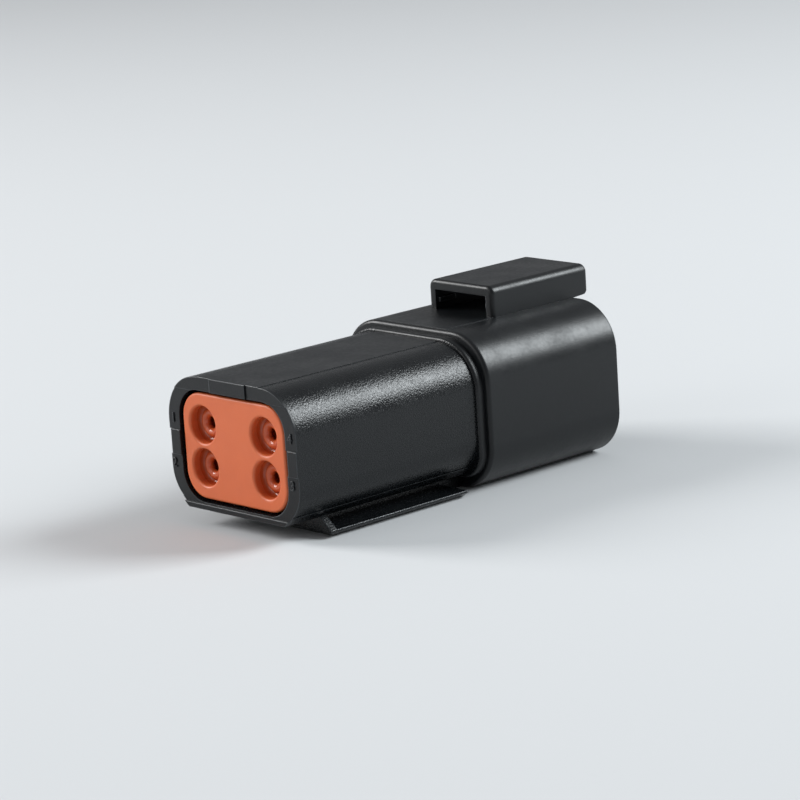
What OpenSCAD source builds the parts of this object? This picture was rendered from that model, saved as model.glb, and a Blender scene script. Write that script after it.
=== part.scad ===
// Sealed four-way pin connector: a moulded housing with a latch catch and a clip rail,
// a silicone wire seal, a wedge that locks the contacts, and four turned pins.
// X runs across, Y along the mating axis and Z up. Wires enter at the low end of Y,
// the plug mates at the high end, and the origin is under the middle of the part.

/* [Rear body] */
// Width of the body behind the collar
body_w = 20; // [19.5:0.1:21.5]
// Height of the body behind the collar
body_h = 14.1; // [13.8:0.1:14.8]
// Corner radius along the top of the body
body_top_r = 4.9; // [4:0.1:5.5]
// Corner radius along the underside of the body
body_low_r = 4.1; // [3.5:0.1:4.8]
// Length of the body, from the wire face to the collar
body_len = 25.3; // [25:0.1:32]
// Height of the body's underside above the rest plane
body_lift = 1.9; // [1.6:0.1:2.2]

/* [Collar and shroud] */
// How far the first tier of the collar stands out of the body
tier_rise = 0.4; // [0.2:0.1:0.8]
// Length of the first tier
tier_len = 1; // [0.6:0.1:2]
// Rounding of the collar's edges
collar_round = 0.45; // [0.2:0.05:0.6]
// Width of the shroud
shroud_w = 22.1; // [21.8:0.1:24]
// Height of the shroud
shroud_h = 17; // [16.8:0.1:18]
// Corner radius of the shroud
shroud_r = 5.2; // [4.5:0.1:6]
// Length of the shroud, from the collar to the mouth
shroud_len = 19.7; // [18.5:0.1:24]
// Wall thickness of the shroud
shroud_wall = 1.4; // [1:0.1:1.7]
// Depth of the socket, from the mouth to its floor
socket_depth = 17.5; // [16:0.1:18]
// Distance of each upper keying rib from the middle
key_x = 5; // [4.5:0.1:5.5]
// Width of the flat panel along the top
panel_w = 9.6; // [8:0.1:9.8]
// How far the flat panel stands up
panel_rise = 0.06; // [0.04:0.01:0.1]

/* [Latch catch] */
// Width over the catch
catch_w = 9.8; // [8:0.1:12]
// Height of the catch above the shroud
catch_h = 3.4; // [3:0.1:5]
// Length of the catch
catch_len = 14.8; // [10:0.1:17]
// How far the catch reaches past the mouth
catch_reach = 2.4; // [0.5:0.1:4]
// Thickness of the catch's side walls
catch_side = 1; // [0.8:0.1:1.4]
// Thickness of the catch's roof
catch_roof = 1.1; // [0.8:0.1:1.4]
// Rounding of the catch's upper edges
catch_round = 0.9; // [0.5:0.1:1]

/* [Clip rail] */
// Distance from the wire face to the rail
rail_start = 4.4; // [3:0.1:8]
// Gap between the rail's flange and the collar
rail_gap = 1.5; // [1:0.1:5]
// Width over the flange
rail_w = 19.4; // [17:0.1:20]
// Thickness of the flange
rail_t = 0.8; // [0.6:0.1:1]
// Width of the web above the flange
web_w = 11.2; // [8:0.1:12]

/* [Wire seal] */
// Length of the seal
seal_len = 9.6; // [8:0.1:11]
// How far the seal's face lies inside the wire face
seal_sink = 0.4; // [0.2:0.1:1]
// Gap between the seal's body and its pocket
seal_relief = 0.35; // [0.3:0.05:0.6]
// Side wall of the pocket at the wire face
pocket_side = 1.7; // [1.5:0.1:2]
// Height of the pocket
pocket_h = 12; // [11.6:0.1:12.2]
// Corner radius of the pocket
pocket_r = 3.2; // [2.5:0.1:4]
// Diameter of a wire hole at its lip
lip_d = 4; // [3.6:0.1:4.2]
// Diameter of a wire hole at its sealing rings
throat_d = 1.2; // [1:0.1:1.8]

/* [Contacts] */
// Spacing of the two columns of contacts
pitch_x = 9.6; // [9.2:0.1:10]
// Spacing of the two rows of contacts
pitch_z = 4.55; // [4.4:0.05:4.8]
// Height of the mating axis above the rest plane
axis_z = 8.6; // [8.5:0.05:8.8]
// Diameter of a pin
pin_d = 1.575; // [1.4:0.025:1.7]
// How far a pin stands out of the socket floor
pin_reach = 10; // [8:0.1:12]
// Diameter of the pin's root, where it passes through the socket floor and the wedge
root_d = 1.95; // [1.9:0.05:2.1]
// Diameter of the crimp barrel
barrel_d = 2.6; // [2.4:0.1:2.8]
// Length of the crimp barrel, behind the collar
barrel_len = 11; // [9:0.1:12]
// Diameter of the hole for the wire's strands
strand_d = 1.75; // [1.5:0.05:1.9]
// Depth of the hole for the wire's strands
strand_depth = 6.3; // [5:0.1:7.5]
// Diameter of the contact's collar
collar_d = 3.5; // [3.3:0.1:3.7]
// Diameter of the cavity that holds a contact
cavity_d = 3.9; // [3.8:0.1:4]

/* [Wedge lock] */
// Thickness of the wedge's tongue
tongue_t = 3; // [2.4:0.1:3.4]
// Length of the tongue behind the plate
tongue_len = 11.4; // [9:0.1:12]
// Width of the wedge's plate
plate_w = 8.6; // [7.4:0.1:9]
// Height of the wedge's plate
plate_h = 9.8; // [9:0.1:11]
// Thickness of the wedge's plate
plate_t = 2; // [1.4:0.1:3]
// Running gap between the wedge and what guides it
wedge_gap = 0.12; // [0.1:0.01:0.2]

/* [Hidden] */
$fn = 64;

eps = 0.01;
bury = 1;
y_shroud = body_len + tier_len;
y_mouth = y_shroud + shroud_len;
y_floor = y_mouth - socket_depth;
y_end = y_mouth + catch_reach;
body_top = body_lift + body_h;

pocket_w = body_w - 2 * pocket_side;
y_pocket = seal_sink + seal_len + 0.1;
seal_w = pocket_w - 2 * seal_relief;
seal_h = pocket_h - 2 * seal_relief;
seal_r = pocket_r - seal_relief;
seal_fit = 0.05;

front_wall = 1.9;
y_seat = y_floor - front_wall;
contact_collar = 1.5;
y_catch_face = y_seat - contact_collar;
root_gap = 0.075;
finger_gap = 0.1;
finger_t = 1.1;
finger_w = 3;
slot_side = 0.3;
slot_w = pitch_x - cavity_d + 2 * slot_side;
slot_h = pitch_z + cavity_d;
slot_len = tongue_len + 0.5;

// Where each contact stands, seen from the wire face: 1 and 2 down the left, 3 and 4 up the right.
SEATS = [[-1, 1], [-1, -1], [1, -1], [1, 1]];

function seat_x(i) = SEATS[i - 1][0] * pitch_x / 2;
function seat_z(i) = axis_z + SEATS[i - 1][1] * pitch_z / 2;

// Moves the part so that the origin is under its middle.
module in_frame() {
  translate([0, -y_end / 2, 0]) children();
}

// Extrudes an outline drawn in X and Z from y0 to y1.
module along_y(y0, y1) {
  translate([0, y1, 0]) rotate([90, 0, 0]) linear_extrude(y1 - y0) children();
}

// Turns a profile of radius and Y about an axis along Y.
module turned(x, y, z) {
  translate([x, y, z]) rotate([-90, 0, 0]) rotate_extrude() children();
}

module rod(x, z, y0, y1, d) {
  translate([x, y0, z]) rotate([-90, 0, 0]) cylinder(d = d, h = y1 - y0);
}

// Rectangle with rounded corners, centred on X, from z0 to z1.
module outline(w, z0, z1, rt, rb) {
  translate([-w / 2, z0 + rb]) square([w, z1 - rt - z0 - rb]);
  translate([-w / 2 + rt, z1 - rt - eps]) square([w - 2 * rt, rt + eps]);
  translate([-w / 2 + rb, z0]) square([w - 2 * rb, rb + eps]);
  for (s = [-1, 1]) {
    translate([s * (w / 2 - rt), z1 - rt]) circle(r = rt);
    translate([s * (w / 2 - rb), z0 + rb]) circle(r = rb);
  }
}

// Quarter disc that rounds an edge: its square corner is at the origin.
module quarter(f) {
  intersection() {
    circle(r = f);
    translate([0, -f]) square(f);
  }
}

// Plate as thick as f at y, whose edge is rounded by f on the side of low Y.
module rounded_plate(y, w, z0, z1, rt, rb, f) {
  along_y(y, y + f) outline(w - 2 * f, z0 + f, z1 - f, rt - f, rb - f);
  for (s = [-1, 1]) {
    translate([s * (w / 2 - rt), y, z1 - rt]) round_corner(s > 0 ? 270 : 180, rt, f);
    translate([s * (w / 2 - rb), y, z0 + rb]) round_corner(s > 0 ? 0 : 90, rb, f);
    translate([s * (w / 2 - f), y + f, z0 + rb]) mirror([s > 0 ? 0 : 1, 0, 0])
      linear_extrude(z1 - rt - z0 - rb) quarter(f);
  }
  for (e = [[z1 - f, rt, 0], [z0 + f, rb, 1]])
    translate([-w / 2 + e[1], y + f, e[0]]) mirror([0, 0, e[2]]) rotate([0, 90, 0]) rotate([0, 0, 180])
      linear_extrude(w - 2 * e[1]) mirror([0, 1, 0]) quarter(f);
}

module round_corner(start, r, f) {
  rotate([-90, 0, 0]) rotate_extrude(angle = 90, start = start) {
    square([r - f, f]);
    translate([r - f, f]) quarter(f);
  }
}

module housing() {
  color("#1f2125") in_frame() {
    difference() {
      union() {
        body();
        shroud();
        top_panel();
        catch();
        clip_rail();
      }
      seal_pocket();
      wire_face_steps();
      socket();
      for (i = [1:4]) contact_cavity(i);
      along_y(y_floor - slot_len, y_floor + eps)
        translate([-slot_w / 2, axis_z - slot_h / 2]) square([slot_w, slot_h]);
    }
    for (i = [1:4]) locking_finger(i);
    key_ribs();
  }
}

// Rear body, whose lower corners are bevelled, and the first tier of the collar.
module body() {
  flat = body_w / 2 - 0.6 * body_low_r;
  bevel_w = 1.1;
  bevel_h = 0.95;
  tier_round = tier_rise * 0.8;
  tier_low_r = body_low_r - bevel_h;
  along_y(0, y_shroud + bury) {
    outline(body_w, body_lift, body_top, body_top_r, body_low_r);
    polygon([[-flat, body_lift], [flat, body_lift], [flat + bevel_w, body_lift + bevel_h],
      [-flat - bevel_w, body_lift + bevel_h]]);
  }
  rounded_plate(body_len, body_w + 2 * tier_rise, body_lift - tier_rise, body_top + tier_rise,
    body_top_r + tier_rise, tier_low_r, tier_round);
  along_y(body_len + tier_round, y_shroud + bury)
    outline(body_w + 2 * tier_rise, body_lift - tier_rise, body_top + tier_rise,
      body_top_r + tier_rise, tier_low_r);
}

module shroud() {
  rounded_plate(y_shroud, shroud_w, 0, shroud_h, shroud_r, shroud_r, collar_round);
  along_y(y_shroud + collar_round, y_mouth) outline(shroud_w, 0, shroud_h, shroud_r, shroud_r);
}

module socket() {
  along_y(y_floor, y_mouth + eps)
    outline(shroud_w - 2 * shroud_wall, shroud_wall, shroud_h - shroud_wall,
      shroud_r - shroud_wall, shroud_r - shroud_wall);
}

// Smooth panel along the top of the body and of the shroud.
module top_panel() {
  for (e = [[0, body_len + eps, body_top], [y_shroud + collar_round, y_mouth, shroud_h]])
    along_y(e[0], e[1]) translate([-panel_w / 2, e[2] - bury]) square([panel_w, bury + panel_rise]);
}

// Low ribs inside the shroud that let only the right plug in.
module key_ribs() {
  key_short = 5;
  key_len = socket_depth - key_short;
  key_rise = 0.7;
  key_w = 1;
  low_key_w = 2.5;
  key_root = 0.3;
  y0 = y_floor - 0.5;
  for (s = [-1, 1])
    translate([s * key_x - key_w / 2, y0, shroud_h - shroud_wall - key_rise])
      cube([key_w, key_len, key_rise + key_root]);
  translate([-low_key_w / 2, y0, shroud_wall - key_root])
    cube([low_key_w, key_len, key_rise + key_root]);
}

// Inverted channel on the shroud: the plug's latch arm runs through it and hooks its rear edge.
module catch() {
  y0 = y_end - catch_len;
  root = 1.4;
  top = shroud_h + catch_h;
  inner = catch_w / 2 - catch_side;
  edge = 0.45;
  low_r = 0.6;
  chin = 0.6;
  chin_slope = 0.1;
  under = 3;
  nub = [0.8, 2.4, 0.5];
  nub_inset = 0.3;
  nub_lift = 0.9;
  difference() {
    union() {
      rounded_plate(y0, catch_w, shroud_h - root, top, catch_round, low_r, edge);
      along_y(y0 + edge, y_end - edge) outline(catch_w, shroud_h - root, top, catch_round, low_r);
      translate([0, 2 * y_end, 0]) mirror([0, 1, 0])
        rounded_plate(y_end, catch_w, shroud_h - root, top, catch_round, low_r, edge);
    }
    along_y(y0 - bury, y_end + bury) translate([-inner, shroud_h - root - bury])
      square([2 * inner, catch_h - catch_roof + root + bury]);
    translate([0, y_mouth - eps, shroud_h]) rotate([90, 0, 90])
      linear_extrude(catch_w + 4 * bury, center = true)
        polygon([[0, -under], [0, -eps], [catch_reach - chin, chin_slope], [catch_reach, chin],
          [catch_reach + bury, chin], [catch_reach + bury, -under]]);
  }
  for (s = [-1, 1])
    translate([s * inner - nub[0] / 2, y0 + nub_inset, shroud_h + nub_lift]) cube(nub);
}

// T-shaped rail under the body for a mounting clip.
module clip_rail() {
  y1 = body_len - rail_gap;
  bevel = rail_t * 0.7;
  bevel_w = bevel * 1.5;
  end_t = 0.8;
  end_inset = 2;
  end_root = 0.2;
  difference() {
    union() {
      along_y(rail_start, y1)
        polygon([[-rail_w / 2, rail_t], [-rail_w / 2, bevel], [-rail_w / 2 + bevel_w, 0],
          [rail_w / 2 - bevel_w, 0], [rail_w / 2, bevel], [rail_w / 2, rail_t]]);
      along_y(rail_start, y_shroud + bury) translate([-web_w / 2, 0]) square([web_w, body_lift + bury]);
      along_y(rail_start, rail_start + end_t)
        polygon([[-rail_w / 2, rail_t - eps], [-body_w / 2 + end_inset, body_lift + end_root],
          [body_w / 2 - end_inset, body_lift + end_root], [rail_w / 2, rail_t - eps]]);
    }
    translate([0, rail_start, 0]) rotate([90, 0, 90]) linear_extrude(rail_w + bury, center = true)
      polygon([[-eps, -bury], [bevel_w, -eps], [-eps, bevel]]);
  }
}

module seal_pocket() {
  along_y(-eps, y_pocket)
    outline(pocket_w, axis_z - pocket_h / 2, axis_z + pocket_h / 2, pocket_r, pocket_r);
}

// The side bars stand back from the lips above and below the seal. The top lip and each bar
// carry a low pad, with a slot beside the pads of the bars.
module wire_face_steps() {
  step = 0.25;
  top_step = 0.15;
  pad_rise = 0.13;
  pad_w = 5.6;
  side_pad_h = 2.7;
  bar_low = axis_z - pocket_h / 2 - 0.15;
  side_x = body_w / 2 + bury;
  slot = 0.3;
  slot_depth = 1;
  difference() {
    union() {
      translate([-side_x, -bury, bar_low]) cube([2 * side_x, bury + step, pocket_h]);
      translate([-side_x, -bury, bar_low]) cube([2 * side_x, bury + top_step, body_h]);
    }
    translate([-pad_w / 2, -2 * bury, bar_low + pocket_h]) cube([pad_w, 4 * bury, body_h]);
    for (s = [-1, 1])
      translate([s * body_w / 2 - 2 * bury, step - pad_rise, axis_z - side_pad_h / 2])
        cube([4 * bury, bury, side_pad_h]);
  }
  for (x = [-body_w / 2, pocket_w / 2])
    translate([x - slot, -bury, axis_z - side_pad_h / 2]) cube([2 * slot, bury + slot_depth, side_pad_h]);
}

module contact_cavity(i) {
  rod(seat_x(i), seat_z(i), y_pocket - eps, y_seat, cavity_d);
  rod(seat_x(i), seat_z(i), y_seat - eps, y_floor + eps, root_d + 2 * root_gap);
}

// Springy arm beside each contact. Its nose stands behind the contact's collar.
module locking_finger(i) {
  side = SEATS[i - 1][0];
  side_gap = 0.03;
  barrel_gap = -0.08;
  root_x = tongue_t / 2 + wedge_gap + side_gap;
  tip_y = y_catch_face - finger_gap;
  nose_x = pitch_x / 2 - barrel_d / 2 + barrel_gap;
  nose_w = 1.7;
  nose_ramp = 3;
  nose_flat = 1;
  nose_root = 0.1;
  back = y_floor - slot_len - 0.5;
  translate([0, 0, seat_z(i)]) mirror([side > 0 ? 0 : 1, 0, 0]) {
    translate([root_x, back, -finger_w / 2]) cube([finger_t, tip_y - back, finger_w]);
    translate([0, 0, -nose_w / 2]) linear_extrude(nose_w)
      polygon([[root_x + finger_t - nose_root, tip_y - nose_ramp], [nose_x, tip_y - nose_flat],
        [nose_x, tip_y], [root_x + finger_t - nose_root, tip_y]]);
  }
}

module wire_seal() {
  soft_round = 0.3;
  rib_start = 2.4;
  rib_step = 2.5;
  color("#ec8a55") in_frame() difference() {
    union() {
      rounded_plate(seal_sink, seal_w, axis_z - seal_h / 2, axis_z + seal_h / 2, seal_r, seal_r, soft_round);
      along_y(seal_sink + soft_round, seal_sink + seal_len)
        outline(seal_w, axis_z - seal_h / 2, axis_z + seal_h / 2, seal_r, seal_r);
      for (k = [0:2]) seal_rib(seal_sink + rib_start + k * rib_step);
    }
    for (i = [1:4]) turned(seat_x(i), seal_sink, seat_z(i)) wire_hole();
  }
}

module seal_rib(y) {
  w = pocket_w - 2 * seal_fit;
  h = pocket_h - 2 * seal_fit;
  r = pocket_r - seal_fit;
  rib_len = 0.8;
  along_y(y, y + rib_len) outline(w, axis_z - h / 2, axis_z + h / 2, r, r);
}

// Half of a wire hole: a bowl with a soft lip, then round rings that grip the wire.
module wire_hole() {
  lip_r = lip_d / 2;
  lip_round = 0.25;
  bowl = 1.5;
  bowl_round = 0.4;
  throat_r = throat_d / 2;
  ring_r = 0.5;
  rings = 3;
  ring_step = (seal_len - bowl - ring_r) / (rings - 1) - 0.2;
  groove_r = throat_r + ring_r * 1.3;
  lip_turn = 30;
  first_turn = 24;
  ring_turn = 40;
  difference() {
    union() {
      translate([0, -bury]) square([lip_r + lip_round, bury + lip_round]);
      polygon([[0, 0], [lip_r, 0], each [for (a = [0:22.5:90])
        [lip_r - bowl_round * (1 - cos(a)), bowl - bowl_round * (1 - sin(a))]], [0, bowl]]);
      translate([0, bowl - eps]) square([groove_r, seal_len]);
    }
    round_form(lip_r + lip_round, lip_round, lip_round, lip_turn);
    for (k = [0:rings - 1])
      round_form(throat_r + ring_r, bowl + k * ring_step, ring_r, k == 0 ? first_turn : ring_turn);
  }
}

// Section of a moulded ring, as a polygon on a circle that turns by a set angle at each corner.
module round_form(x, y, r, turn) {
  polygon([for (a = [turn / 2:turn:360]) [x + r * cos(a), y + r * sin(a)]]);
}

module wedge_lock() {
  tongue_h = slot_h - 2 * wedge_gap;
  y_plate = y_floor + 0.05;
  plate_r = 0.6;
  pin_room = 0.45;
  grip = [1.6, 2, 4];
  grip_depth = 1.4;
  color("#ef8c3a") in_frame() difference() {
    union() {
      along_y(y_plate - tongue_len, y_plate + eps)
        translate([-tongue_t / 2, axis_z - tongue_h / 2]) square([tongue_t, tongue_h]);
      along_y(y_plate, y_plate + plate_t)
        outline(plate_w, axis_z - plate_h / 2, axis_z + plate_h / 2, plate_r, plate_r);
    }
    for (i = [1:4])
      rod(seat_x(i), seat_z(i), y_plate - bury, y_plate + plate_t + bury, root_d + 2 * pin_room);
    translate([-grip[0] / 2, y_plate + plate_t - grip_depth, axis_z - grip[2] / 2]) cube(grip);
  }
}

// Its root ends just in front of the wedge, where the free length of the pin begins.
module contact(i) {
  tip = 0.6;
  y_back = y_catch_face - barrel_len;
  y_root = y_floor + plate_t + 0.2;
  y_tip = y_floor + pin_reach;
  rb = barrel_d / 2;
  rp = pin_d / 2;
  color("#c8c5bb") in_frame() difference() {
    union() {
      rod(seat_x(i), seat_z(i), y_back, y_catch_face + eps, barrel_d);
      rod(seat_x(i), seat_z(i), y_catch_face, y_seat, collar_d);
      rod(seat_x(i), seat_z(i), y_seat - eps, y_root, root_d);
      rod(seat_x(i), seat_z(i), y_root - eps, y_tip - tip, pin_d);
      turned(seat_x(i), y_tip - tip, seat_z(i))
        polygon([[0, -eps], [rp, -eps], [rp, 0], [rp * 0.5, tip], [0, tip]]);
    }
    rod(seat_x(i), seat_z(i), y_back - bury, y_back + strand_depth, strand_d);
  }
}

module contact_1() { contact(1); }
module contact_2() { contact(2); }
module contact_3() { contact(3); }
module contact_4() { contact(4); }

housing();
wire_seal();
wedge_lock();
contact_1();
contact_2();
contact_3();
contact_4();
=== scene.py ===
"""Sealed four-way connector: black moulded housing, orange wire seal and wedge, nickel pins."""
import math

import bpy
from mathutils import Matrix, Vector


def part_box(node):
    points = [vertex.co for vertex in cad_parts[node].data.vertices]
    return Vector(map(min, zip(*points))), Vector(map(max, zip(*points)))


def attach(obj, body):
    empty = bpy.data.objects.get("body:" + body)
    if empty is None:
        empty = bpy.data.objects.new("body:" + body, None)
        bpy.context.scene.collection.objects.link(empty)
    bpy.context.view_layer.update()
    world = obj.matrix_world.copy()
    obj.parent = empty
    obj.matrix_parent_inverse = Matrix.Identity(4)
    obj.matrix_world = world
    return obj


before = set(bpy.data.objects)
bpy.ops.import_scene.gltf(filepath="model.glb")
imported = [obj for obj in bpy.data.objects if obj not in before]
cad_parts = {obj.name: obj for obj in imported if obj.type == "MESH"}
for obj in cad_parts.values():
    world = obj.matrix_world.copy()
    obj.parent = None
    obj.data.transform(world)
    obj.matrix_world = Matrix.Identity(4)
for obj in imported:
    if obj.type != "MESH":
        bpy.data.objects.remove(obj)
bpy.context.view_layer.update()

# --- Housing -------------------------------------------------------------------------------
# One black moulding in glass-filled thermoplastic. The rear body carries a fine spark-eroded
# grain, the shroud and the raised panel along the top are smoother, and every outer edge is
# slightly rounded by the mould and carries a painted highlight, a lighter grey in its colour.

MM = 0.001
COLLAR_Y = 25.4 * MM     # from the wire face to the collar, where the grain ends
PANEL_HALF = 4.8 * MM    # half the width of the smooth panel along the top
PANEL_Z = 15.6 * MM      # height above which the panel starts
RIM = 0.6 * MM           # depth of the smoother rim at the wire face
EDGE_ROUND = 0.2 * MM    # rounding of the outer edges
CORNER_REACH = 0.8 * MM  # how far a nearby wall counts as an inside corner

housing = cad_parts["housing"]
wire_face_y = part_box("housing")[0][1]


def wire(tree, start, end):
    """Joins one socket to another, each given as a pair of node and socket name."""
    tree.links.new(start[0].outputs[start[1]], end[0].inputs[end[1]])


def add_node(tree, kind, **values):
    """Adds a shader node and fills the sockets or properties named."""
    node = tree.nodes.new(kind)
    for name, value in values.items():
        if name in node.inputs:
            node.inputs[name].default_value = value
        else:
            setattr(node, name, value)
    return node


def new_material(name, colour, roughness):
    """An opaque material of one colour and roughness, with its tree and its shader."""
    material = bpy.data.materials.new(name)
    material.use_nodes = True
    tree = material.node_tree
    shader = tree.nodes["Principled BSDF"]
    shader.inputs["Base Color"].default_value = (*colour, 1)
    shader.inputs["Roughness"].default_value = roughness
    return material, tree, shader


def noise(tree, coords, scale, detail=2.0):
    """Noise in object space. The scale is the number of cells in a metre."""
    texture = add_node(tree, "ShaderNodeTexNoise", Scale=scale, Detail=detail)
    wire(tree, (coords, "Object"), (texture, "Vector"))
    return texture.outputs["Fac"]


def remap(tree, source, low, high, out_low, out_high):
    """Maps a value from one range to another and clamps it."""
    node = tree.nodes.new("ShaderNodeMapRange")
    for name, value in (("From Min", low), ("From Max", high), ("To Min", out_low), ("To Max", out_high)):
        node.inputs[name].default_value = value
    tree.links.new(source, node.inputs["Value"])
    return node.outputs["Result"]


def calculate(tree, operation, first, second):
    """One arithmetic step on two sockets or numbers."""
    node = tree.nodes.new("ShaderNodeMath")
    node.operation = operation
    for socket, value in zip(node.inputs, (first, second)):
        if isinstance(value, (int, float)):
            socket.default_value = value
        else:
            tree.links.new(value, socket)
    return node.outputs["Value"]


def blend(tree, factor, first, second, way="MIX"):
    """Mixes two colours by a factor. Each is three numbers or a socket."""
    node = add_node(tree, "ShaderNodeMix", data_type="RGBA", blend_type=way)
    tree.links.new(factor, node.inputs["Factor"])
    for name, colour in (("A", first), ("B", second)):
        if isinstance(colour, tuple):
            node.inputs[name].default_value = (*colour, 1)
        else:
            tree.links.new(colour, node.inputs[name])
    return node.outputs["Result"]


def bump(tree, height, distance, strength, normal):
    """Relief from a height between 0 and 1 that stands for the distance given, in metres."""
    node = add_node(tree, "ShaderNodeBump", Strength=strength, Distance=distance)
    tree.links.new(height, node.inputs["Height"])
    tree.links.new(normal, node.inputs["Normal"])
    return node.outputs["Normal"]


def grained_zone(tree, place):
    """1 on the sides of the rear body, 0 past the collar and on the top panel, low on the rim."""
    collar_y = wire_face_y + COLLAR_Y
    rim_y = wire_face_y + RIM
    fade = 0.1 * MM
    behind_collar = remap(tree, place.outputs["Y"], collar_y - fade, collar_y + fade, 1, 0)
    across = calculate(tree, "ABSOLUTE", place.outputs["X"], 0)
    beside_panel = remap(tree, across, PANEL_HALF - fade / 2, PANEL_HALF + fade / 2, 0, 1)
    below_panel = remap(tree, place.outputs["Z"], PANEL_Z - fade, PANEL_Z, 1, 0)
    off_rim = remap(tree, place.outputs["Y"], rim_y - fade, rim_y, 0.15, 1)
    sides = calculate(tree, "MAXIMUM", beside_panel, below_panel)
    return calculate(tree, "MULTIPLY", calculate(tree, "MULTIPLY", behind_collar, sides), off_rim)


def moulded_black():
    """Black plastic: grained and sparkling on the rear body, satin on the rest."""
    material, tree, shader = new_material("moulded_black", (0.0052, 0.0063, 0.0074), 0.27)
    shader.inputs["Specular IOR Level"].default_value = 0.37
    coords = add_node(tree, "ShaderNodeTexCoord")
    place = add_node(tree, "ShaderNodeSeparateXYZ")
    wire(tree, (coords, "Object"), (place, "Vector"))
    grained = grained_zone(tree, place)
    grain = noise(tree, coords, 5600)
    speck = noise(tree, coords, 2600)
    waves = noise(tree, coords, 1400, 3.0)
    cloud = noise(tree, coords, 260, 3.0)

    # Gloss: satin with faint clouds, and each pit of the grain glossier than its ridge.
    rough = calculate(tree, "ADD", remap(tree, speck, 0.3, 0.7, 0.34, 0.41),
                      calculate(tree, "MULTIPLY", grained, remap(tree, grain, 0.35, 0.65, -0.21, -0.03)))
    rough = calculate(tree, "ADD", rough, remap(tree, cloud, 0.35, 0.65, -0.04, 0.04))
    tree.links.new(rough, shader.inputs["Roughness"])

    # Outer edges: rounded where no wall stands near, and painted lighter grey where they turn, a painted
    # highlight.
    corner = add_node(tree, "ShaderNodeAmbientOcclusion", samples=6, Distance=CORNER_REACH)
    outward = remap(tree, corner.outputs["AO"], 0.72, 0.92, 0, 1)
    edge = add_node(tree, "ShaderNodeBevel", samples=8)
    tree.links.new(calculate(tree, "MULTIPLY", outward, EDGE_ROUND), edge.inputs["Radius"])
    flat = add_node(tree, "ShaderNodeNewGeometry")
    turn = add_node(tree, "ShaderNodeVectorMath", operation="DOT_PRODUCT")
    wire(tree, (edge, "Normal"), (turn, 0))
    wire(tree, (flat, "True Normal"), (turn, 1))
    # Painted highlight: a lighter grey is mixed into the base colour along convex edges.
    painted_edge_highlight = calculate(tree, "MULTIPLY", remap(tree, turn.outputs["Value"], 0.80, 0.97, 1, 0), outward)
    tone = blend(tree, cloud, (0.0040, 0.0049, 0.0058), (0.0065, 0.0079, 0.0092))
    tree.links.new(blend(tree, painted_edge_highlight, tone, (0.085, 0.094, 0.102)), shader.inputs["Base Color"])

    # Relief: sink marks, mould waves away from the grain, and the grain itself.
    wave_height = calculate(tree, "MULTIPLY", waves, remap(tree, grained, 0, 1, 1, 0.2))
    grain_height = calculate(tree, "MULTIPLY", remap(tree, grain, 0.3, 0.7, 0, 1),
                             remap(tree, grained, 0, 1, 0.08, 1))
    normal = bump(tree, cloud, 0.03 * MM, 0.4, edge.outputs["Normal"])
    normal = bump(tree, wave_height, 0.014 * MM, 0.6, normal)
    normal = bump(tree, grain_height, 0.02 * MM, 0.9, normal)
    tree.links.new(normal, shader.inputs["Normal"])
    return material


black = moulded_black()
housing.data.materials.clear()
housing.data.materials.append(black)

# --- Cavity numbers ------------------------------------------------------------------------
# Raised figures on the side bars of the wire face, one beside each wire hole, cast in with
# the housing: 1 and 2 down the left, 3 and 4 up the right.

FIGURE_SIZE = 1.4175 * MM  # letter size of a figure that stands 1.05 mm high
FIGURE_RISE = 0.1 * MM
FIGURE_EDGE = 0.02 * MM
BAR_STEP = 0.25 * MM       # how far the side bars stand back from the wire face
BODY_LOW = 1.9 * MM        # height of the body's underside above the table
FIGURES = (("1", -9.2, 9.25), ("2", -9.5, 4.4), ("3", 9.05, 4.4), ("4", 9.1, 9.3))


def raised_figure(text, x, z):
    """A figure as a closed mesh, standing on the bar and turned to face the wire end."""
    name = "cavity_number_" + text
    curve = bpy.data.curves.new(name, "FONT")
    curve.body = text
    curve.align_x = "CENTER"
    curve.align_y = "CENTER"
    curve.size = FIGURE_SIZE
    curve.extrude = FIGURE_RISE
    curve.bevel_depth = FIGURE_EDGE
    curve.resolution_u = 6
    shape = bpy.data.objects.new(name, curve)
    bpy.context.collection.objects.link(shape)
    graph = bpy.context.evaluated_depsgraph_get()
    mesh = bpy.data.meshes.new_from_object(shape.evaluated_get(graph))
    bpy.data.objects.remove(shape)
    turn = Matrix.Rotation(math.radians(90), 4, "X")
    mesh.transform(Matrix.Translation((x, wire_face_y + BAR_STEP, z)) @ turn)
    figure = bpy.data.objects.new(name, mesh)
    bpy.context.collection.objects.link(figure)
    figure.data.materials.append(black)
    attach(figure, "body")


for figure_text, figure_x, figure_z in FIGURES:
    raised_figure(figure_text, figure_x * MM, BODY_LOW + figure_z * MM)

# --- Wire seal -----------------------------------------------------------------------------
# One piece of soft orange silicone in the housing's rear pocket. Its face is satin from the
# mould, the rings inside the wire holes are glossy from the oil that bleeds out, and their colour is
# darkened as painted shade.

GLOSS_AND_SHADE_START = 0.15 * MM  # behind the seal's face, where it begins to turn glossy and darker with painted shade
GLOSS_AND_SHADE_FULL = 1.2 * MM

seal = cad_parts["wire_seal"]
seal_face_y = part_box("wire_seal")[0][1]


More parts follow.
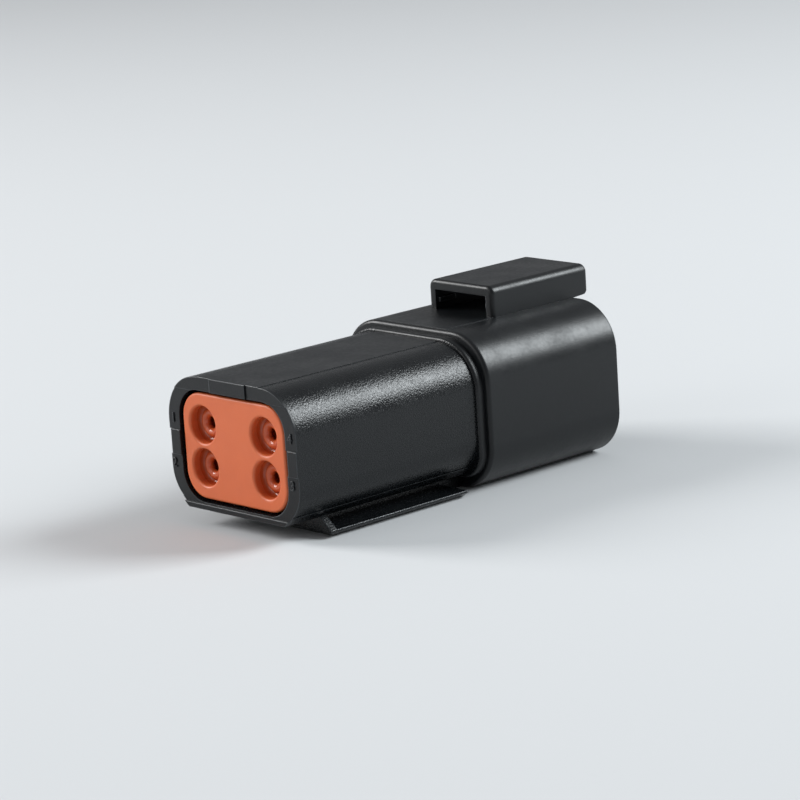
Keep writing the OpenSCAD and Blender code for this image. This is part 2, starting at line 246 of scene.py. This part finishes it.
def silicone():
    """Orange silicone, a little translucent, glossier behind the face and darkened there with painted
    shade.
    """
    material, tree, shader = new_material("orange_silicone", (0.66, 0.142, 0.044), 0.45)
    shader.inputs["Subsurface Weight"].default_value = 0.08
    shader.inputs["Subsurface Radius"].default_value = (0.6, 0.2, 0.08)
    shader.inputs["Subsurface Scale"].default_value = 0.8 * MM
    coords = add_node(tree, "ShaderNodeTexCoord")
    place = add_node(tree, "ShaderNodeSeparateXYZ")
    wire(tree, (coords, "Object"), (place, "Vector"))
    depth = remap(tree, place.outputs["Y"], seal_face_y + GLOSS_AND_SHADE_START, seal_face_y + GLOSS_AND_SHADE_FULL, 0, 1)
    cloud = noise(tree, coords, 420, 3.0)
    fine = noise(tree, coords, 5200)
    tone = blend(tree, cloud, (0.62, 0.124, 0.037), (0.70, 0.156, 0.050))
    # Painted shade: the colour is multiplied darker deeper into the wire holes.
    painted_hollow_shade = blend(tree, depth, tone, (0.80, 0.66, 0.60), "MULTIPLY")
    tree.links.new(painted_hollow_shade, shader.inputs["Base Color"])
    rough = calculate(tree, "ADD", remap(tree, depth, 0, 1, 0.45, 0.19),
                      remap(tree, cloud, 0.3, 0.7, -0.03, 0.03))
    tree.links.new(rough, shader.inputs["Roughness"])
    edge = add_node(tree, "ShaderNodeBevel", samples=6, Radius=0.12 * MM)
    normal = bump(tree, cloud, 0.03 * MM, 0.4, edge.outputs["Normal"])
    normal = bump(tree, fine, 0.016 * MM, 0.8, normal)
    tree.links.new(normal, shader.inputs["Normal"])
    return material


seal.data.materials.clear()
seal.data.materials.append(silicone())

# --- Wedge lock ----------------------------------------------------------------------------
# Orange thermoplastic wedge pressed into the middle of the socket. Its tongue keeps the
# locking fingers behind the contacts.

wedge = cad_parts["wedge_lock"]


def wedge_plastic():
    """Bright orange plastic with a slight mould sheen."""
    material, tree, shader = new_material("wedge_orange", (0.83, 0.22, 0.035), 0.34)
    coords = add_node(tree, "ShaderNodeTexCoord")
    cloud = noise(tree, coords, 350, 3.0)
    fine = noise(tree, coords, 4200)
    tone = blend(tree, cloud, (0.78, 0.19, 0.03), (0.87, 0.25, 0.045))
    tree.links.new(tone, shader.inputs["Base Color"])
    tree.links.new(remap(tree, cloud, 0.3, 0.7, 0.3, 0.38), shader.inputs["Roughness"])
    edge = add_node(tree, "ShaderNodeBevel", samples=6, Radius=0.12 * MM)
    normal = bump(tree, fine, 0.008 * MM, 0.5, edge.outputs["Normal"])
    tree.links.new(normal, shader.inputs["Normal"])
    return material


wedge.data.materials.clear()
wedge.data.materials.append(wedge_plastic())

# --- Contacts ------------------------------------------------------------------------------
# Four pins turned from copper alloy bar and nickel plated, so the lathe's fine rings still
# show round them. Each stands in its cavity with the crimp barrel towards the seal.

LATHE_RINGS = 9000.0         # rings in a metre
RING_DRAW = (0.02, 1, 0.02)  # squeezes the noise across Y, so that it runs round the pin


def turned_nickel():
    """Nickel over fine turning marks, which ring the pin along Y."""
    material, tree, shader = new_material("turned_nickel", (0.66, 0.63, 0.57), 0.24)
    shader.inputs["Metallic"].default_value = 1
    coords = add_node(tree, "ShaderNodeTexCoord")
    stretch = add_node(tree, "ShaderNodeMapping", Scale=RING_DRAW)
    wire(tree, (coords, "Object"), (stretch, "Vector"))
    rings = add_node(tree, "ShaderNodeTexNoise", Scale=LATHE_RINGS, Detail=2.0)
    wire(tree, (stretch, "Vector"), (rings, "Vector"))
    cloud = noise(tree, coords, 600, 3.0)
    tone = blend(tree, cloud, (0.60, 0.57, 0.51), (0.71, 0.68, 0.62))
    tree.links.new(tone, shader.inputs["Base Color"])
    tree.links.new(remap(tree, cloud, 0.3, 0.7, 0.19, 0.3), shader.inputs["Roughness"])
    edge = add_node(tree, "ShaderNodeBevel", samples=6, Radius=0.08 * MM)
    normal = bump(tree, rings.outputs["Fac"], 0.004 * MM, 0.6, edge.outputs["Normal"])
    tree.links.new(normal, shader.inputs["Normal"])
    return material


nickel = turned_nickel()
for number in range(1, 5):
    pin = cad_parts[f"contact_{number}"]
    pin.data.materials.clear()
    pin.data.materials.append(nickel)

# --- Table, light and camera ---------------------------------------------------------------
# Plain pale table that runs far out, three soft boxes round the connector under an even sky,
# and a long lens a third of a metre away with a slight roll.

TABLE_HALF = 3.0
SKY_STRENGTH = 0.3
AIM = (0, 0, 0.01)
AZIMUTH, ELEVATION, ROLL = 47.585, 12.848, -3.722
LENS_PLACE = (0.2591, -0.2371, 0.08941)
FOCAL_LENGTH = 151.605


def pale_table():
    """A matt pale plane at the height the connector rests on."""
    mesh = bpy.data.meshes.new("floor")
    corners = [(x * TABLE_HALF, y * TABLE_HALF, 0) for x, y in ((-1, -1), (1, -1), (1, 1), (-1, 1))]
    mesh.from_pydata(corners, [], [(0, 1, 2, 3)])
    floor = bpy.data.objects.new("floor", mesh)
    bpy.context.collection.objects.link(floor)
    material, tree, shader = new_material("pale_table", (0.62, 0.63, 0.64), 0.8)
    shader.inputs["Specular IOR Level"].default_value = 0.15
    coords = add_node(tree, "ShaderNodeTexCoord")
    cloud = noise(tree, coords, 30)
    tree.links.new(remap(tree, cloud, 0, 1, 0.76, 0.84), shader.inputs["Roughness"])
    mesh.materials.append(material)


def even_sky():
    """An even, slightly cool sky all round."""
    world = bpy.data.worlds.new("studio")
    world.use_nodes = True
    bpy.context.scene.world = world
    background = world.node_tree.nodes["Background"]
    background.inputs["Color"].default_value = (0.95, 0.97, 1, 1)
    background.inputs["Strength"].default_value = SKY_STRENGTH


def soft_box(name, place, size, power, colour=(1, 1, 1)):
    """A square area light that faces the connector, with its size in metres and power in watts."""
    light = bpy.data.lights.new(name, "AREA")
    light.size = size
    light.energy = power
    light.color = colour
    lamp = bpy.data.objects.new(name, light)
    bpy.context.collection.objects.link(lamp)
    lamp.location = place
    lamp.rotation_euler = (Vector(AIM) - Vector(place)).to_track_quat("-Z", "Y").to_euler()


def long_lens():
    """Camera that looks along its azimuth and elevation, turned about that line by the roll."""
    azimuth, elevation, roll = (math.radians(v) for v in (AZIMUTH, ELEVATION, ROLL))
    back = Vector((math.sin(azimuth) * math.cos(elevation),
                   -math.cos(azimuth) * math.cos(elevation), math.sin(elevation)))
    right = Vector((math.cos(azimuth), math.sin(azimuth), 0))
    up = back.cross(right)
    right, up = (math.cos(roll) * right + math.sin(roll) * up,
                 -math.sin(roll) * right + math.cos(roll) * up)
    turn = Matrix((right, up, back)).transposed().to_4x4()
    lens = bpy.data.cameras.new("camera")
    lens.sensor_width = 36
    lens.lens = FOCAL_LENGTH
    lens.clip_start = 0.01
    camera = bpy.data.objects.new("camera", lens)
    bpy.context.collection.objects.link(camera)
    camera.matrix_world = Matrix.Translation(LENS_PLACE) @ turn
    bpy.context.scene.camera = camera


pale_table()
even_sky()
soft_box("box_behind", (0.40, 0.53, 0.45), 0.37, 6.8, (0.92, 0.975, 1))
soft_box("box_left", (-0.58, -0.35, 0.38), 0.35, 5.1)
soft_box("box_front", (-0.14, -0.70, 0.36), 0.42, 0.7)
long_lens()
bpy.context.scene.view_settings.view_transform = "Standard"
